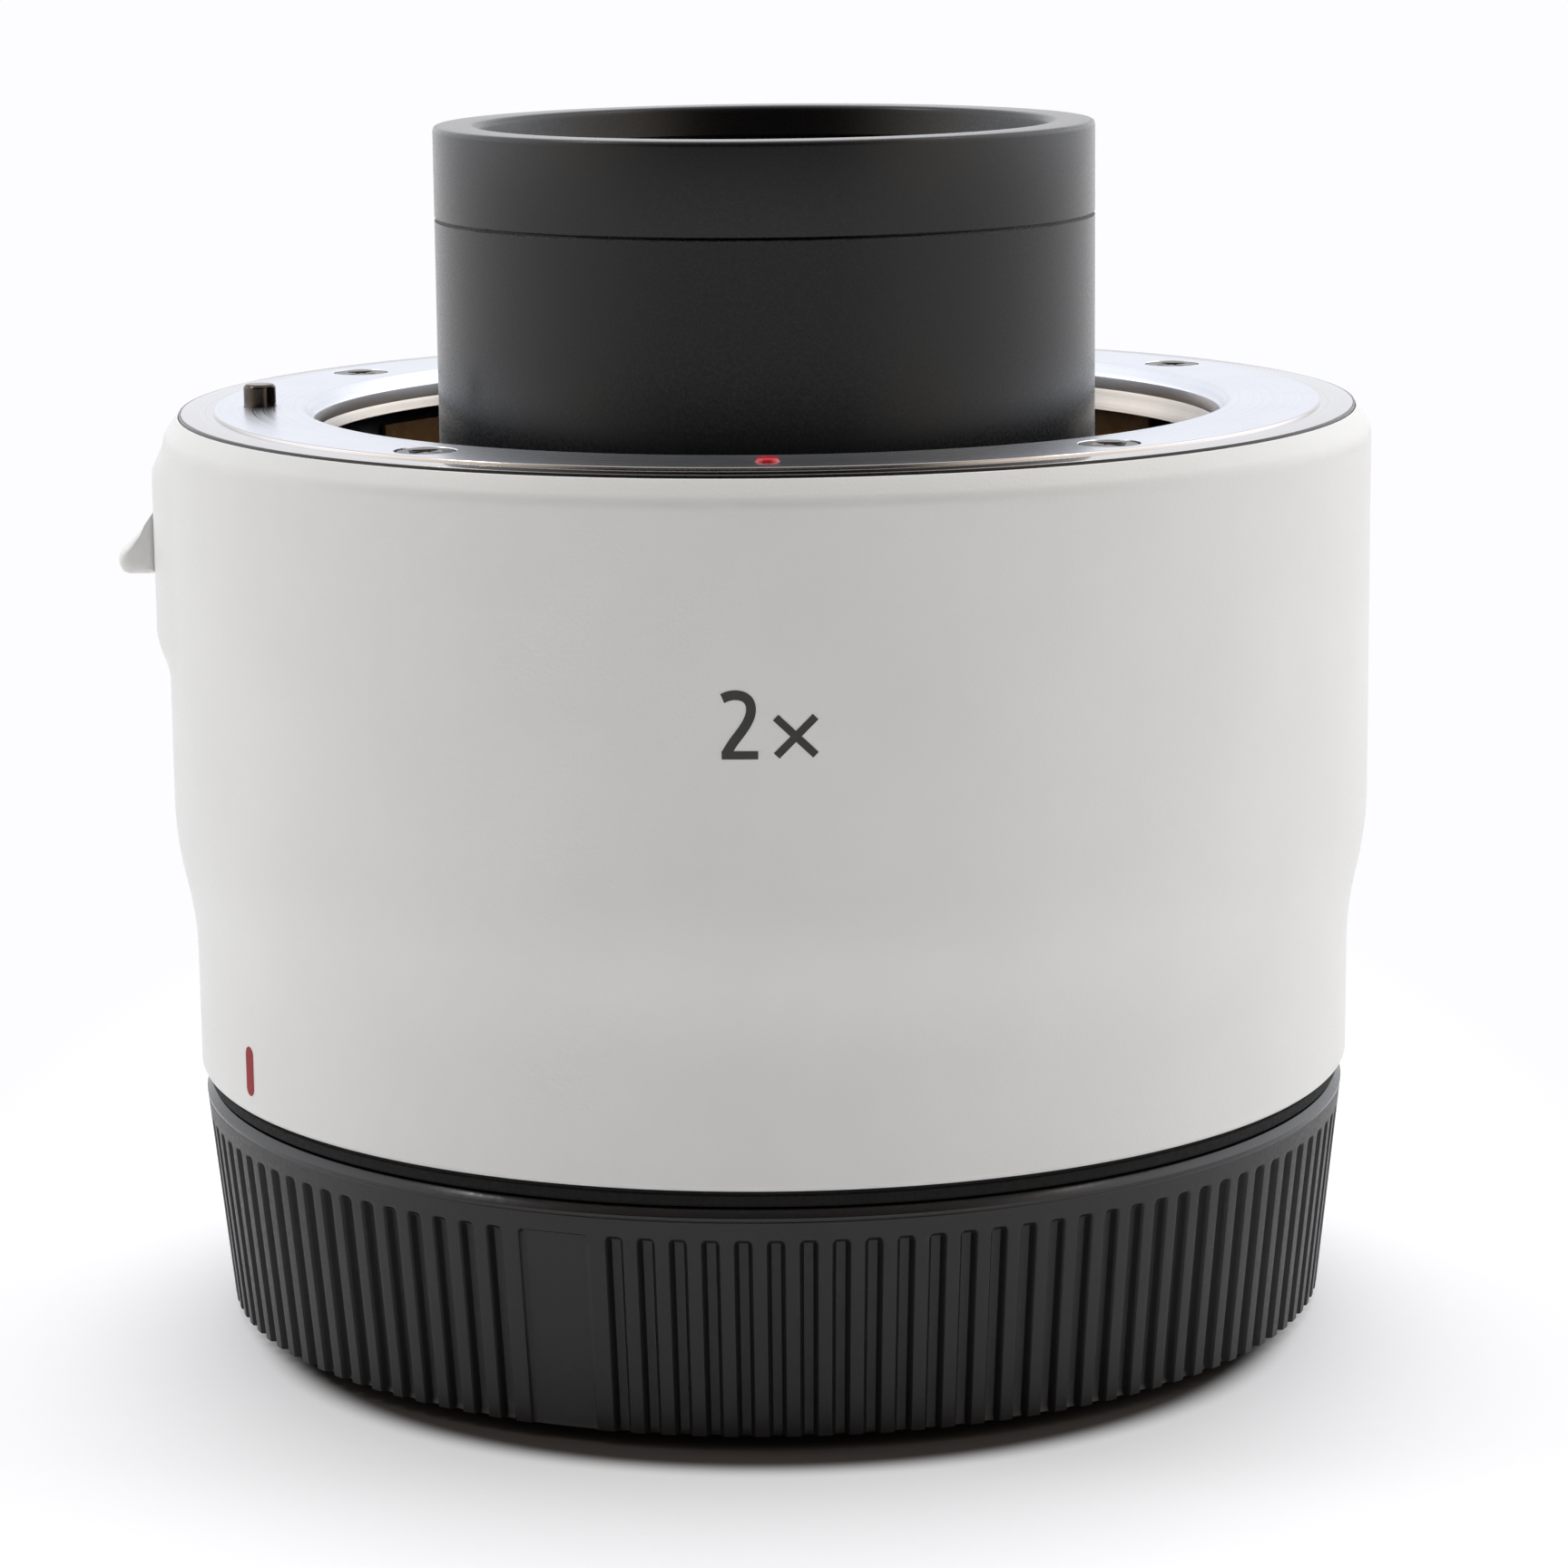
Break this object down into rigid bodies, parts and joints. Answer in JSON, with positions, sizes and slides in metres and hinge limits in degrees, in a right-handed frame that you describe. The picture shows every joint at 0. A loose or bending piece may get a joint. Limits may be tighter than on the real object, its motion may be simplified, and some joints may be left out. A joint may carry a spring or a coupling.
{
  "type": "camera teleconverter",
  "caption": "White cylindrical camera teleconverter with a black optical nose, chromed lens bayonet, release lever and a ribbed black rear cap.",
  "frame": {"origin": "centre of the rear cap's flat base, on the optical axis", "axes": "+Z along the optical axis to the lens side, -Y towards the red index dot, -X towards the release lever"},
  "size_m": [0.0744, 0.0712, 0.0704],
  "materials": {
    "barrel_paint": "off-white heat-shield paint with a fine grain",
    "mount_chrome": "turned and satin-chromed",
    "steel": "plain machined steel",
    "black_anodised": "bead-blasted and black anodised",
    "black_plastic": "moulded, fine satin texture",
    "gasket_rubber": "moulded rubber",
    "coated_glass": "polished and coated",
    "gold_contact": "gold-plated",
    "bronze": "turned bronze",
    "amber_film": "polyimide film",
    "circuit_board": "solder-masked glass fibre",
    "index_enamel": "red enamel"
  },
  "bodies": {
    "extender": {"outer_barrel": "barrel_paint", "lens_mount_ring": "mount_chrome", "rear_mount": "mount_chrome", "mount_ring_screws": "steel", "bayonet_springs": "steel", "frame_screws": "steel", "nose_screws": "steel", "cell_screws": "steel", "contact_springs": "steel", "contact_block_screws": "steel", "board_screws": "steel", "rear_mount_screws": "steel", "mount_shim": "steel", "lock_pin_spring": "steel", "chassis": "black_anodised", "nose_barrel": "black_anodised", "nose_front_ring": "black_anodised", "front_cell": "black_anodised", "front_retainer": "black_anodised", "front_spacer": "black_anodised", "doublet_cell": "black_anodised", "doublet_retainer": "black_anodised", "triplet_cell": "black_anodised", "triplet_retainer": "black_anodised", "rear_spacer": "black_anodised", "rear_doublet_cell": "black_anodised", "rear_doublet_retainer": "black_anodised", "rear_cell": "black_anodised", "rear_retainer": "black_anodised", "front_frame": "black_plastic", "mount_trim_ring": "black_plastic", "rear_baffle": "black_plastic", "front_contact_block": "black_plastic", "rear_contact_block": "black_plastic", "board_chips": "black_plastic", "rear_gasket": "gasket_rubber", "front_lens": "coated_glass", "doublet_front_lens": "coated_glass", "doublet_rear_lens": "coated_glass", "triplet_front_lens": "coated_glass", "triplet_middle_lens": "coated_glass", "triplet_rear_lens": "coated_glass", "rear_doublet_front_lens": "coated_glass", "rear_doublet_rear_lens": "coated_glass", "rear_lens": "coated_glass", "rear_contacts": "gold_contact", "lock_pin_bush": "bronze", "front_flex": "amber_film", "rear_flex": "amber_film", "main_board": "circuit_board", "mount_index_dot": "index_enamel"},
    "release": {"release_lever": "barrel_paint", "release_slider": "steel", "lever_screw": "steel"},
    "pin": {"lock_pin": "steel"},
    "contact_pins": {"front_contact_pins": "gold_contact"},
    "cap": {"rear_cap": "black_plastic"}
  },
  "joints": [
    {"name": "release_slide", "type": "slide", "parent": "extender", "child": "release", "axis": [0, 0, -1], "range_m": [0, 0.002], "stiffness_N_per_m": 600, "springref_m": -0.003},
    {"name": "lock_pin_slide", "type": "slide", "parent": "extender", "child": "pin", "axis": [0, 0, -1], "range_m": [0, 0.002], "deforming": ["lock_pin_spring"]},
    {"name": "contact_press", "type": "slide", "parent": "extender", "child": "contact_pins", "axis": [0, 0, -1], "range_m": [0, 0.0007], "stiffness_N_per_m": 800, "springref_m": -0.002, "deforming": ["contact_springs"]},
    {"name": "cap_twist", "type": "hinge", "parent": "extender", "child": "cap", "pos_m": [0, 0, 0], "axis": [0, 0, -1], "range_deg": [0, 60]}
  ],
  "couplings": [
    {"joint": "lock_pin_slide", "follows": "release_slide", "ratio": 1}
  ]
}
